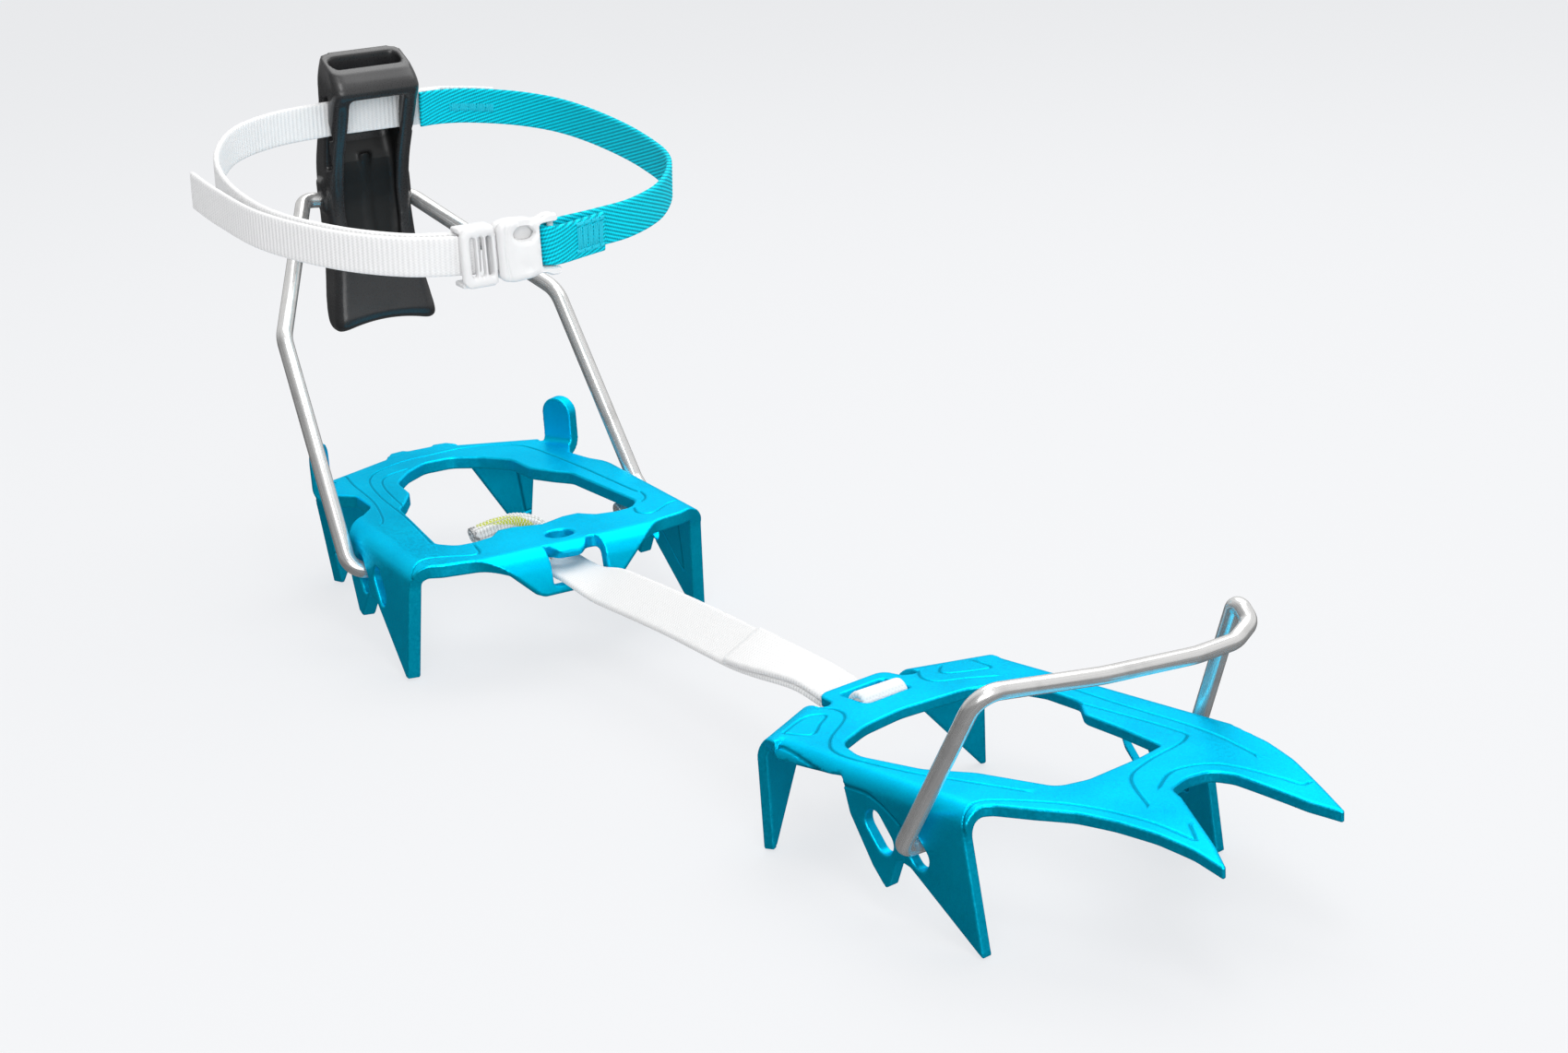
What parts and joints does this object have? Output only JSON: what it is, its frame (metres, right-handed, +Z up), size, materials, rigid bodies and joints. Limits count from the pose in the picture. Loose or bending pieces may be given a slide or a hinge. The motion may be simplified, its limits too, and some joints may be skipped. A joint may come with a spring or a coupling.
{
  "type": "articulated crampon",
  "caption": "Articulated mountaineering crampon with folded spiked heel and toe sections, wire bails, heel lever and ankle strap.",
  "frame": {"origin": "centre of the bounding box at its bottom, on the floor that the spikes stand on", "axes": "+X towards the toe, +Y towards the inner side of a right foot, +Z up"},
  "size_m": [0.383, 0.1282, 0.142],
  "materials": {
    "anodised_teal": "satin anodised",
    "anodised_teal_toe": "satin anodised",
    "heel_wire_steel": "bright drawn wire",
    "toe_wire_steel": "bright drawn wire",
    "lever_plastic": "glossy black moulding",
    "white_webbing": "ribbed flat webbing",
    "teal_elastic": "twill elastic",
    "buckle_plastic": "white moulding",
    "clip_plastic": "white moulding",
    "link_webbing": "smooth flat webbing",
    "cord_white": "braided cord with a green tracer"
  },
  "bodies": {
    "heel": {"heel_frame": "anodised_teal", "link_cord": "cord_white"},
    "bail": {"heel_bail": "heel_wire_steel"},
    "lever": {"heel_lever": "lever_plastic", "ankle_webbing": "white_webbing", "ankle_elastic": "teal_elastic", "buckle_socket": "buckle_plastic", "buckle_clip": "clip_plastic"},
    "link": {"link_strap": "link_webbing"},
    "toe": {"toe_frame": "anodised_teal_toe"},
    "toe_wire": {"toe_bail": "toe_wire_steel"}
  },
  "joints": [
    {"name": "heel_bail_swing", "type": "hinge", "parent": "heel", "child": "bail", "pos_m": [-0.09263, -0.00154, 0.0203], "axis": [-0.0452, 0.999, 0], "range_deg": [-15, 55]},
    {"name": "lever_turn", "type": "hinge", "parent": "bail", "child": "lever", "pos_m": [-0.18623, 0.00016, 0.0985], "axis": [0.0247, 0.9954, -0.0927], "range_deg": [-40, 25]},
    {"name": "link_swing", "type": "hinge", "parent": "heel", "child": "link", "pos_m": [-0.04613, -0.00094, 0.0232], "axis": [0, 1, 0], "range_deg": [-30, 8]},
    {"name": "toe_swing", "type": "hinge", "parent": "link", "child": "toe", "pos_m": [0.07757, 0.01412, 0.027], "axis": [-0.1874, 0.9823, 0], "range_deg": [-4, 45]},
    {"name": "toe_bail_swing", "type": "hinge", "parent": "toe", "child": "toe_wire", "pos_m": [0.12867, 0.02376, 0.01755], "axis": [-0.081, 0.9967, -0.0094], "range_deg": [-40, 20]}
  ]
}
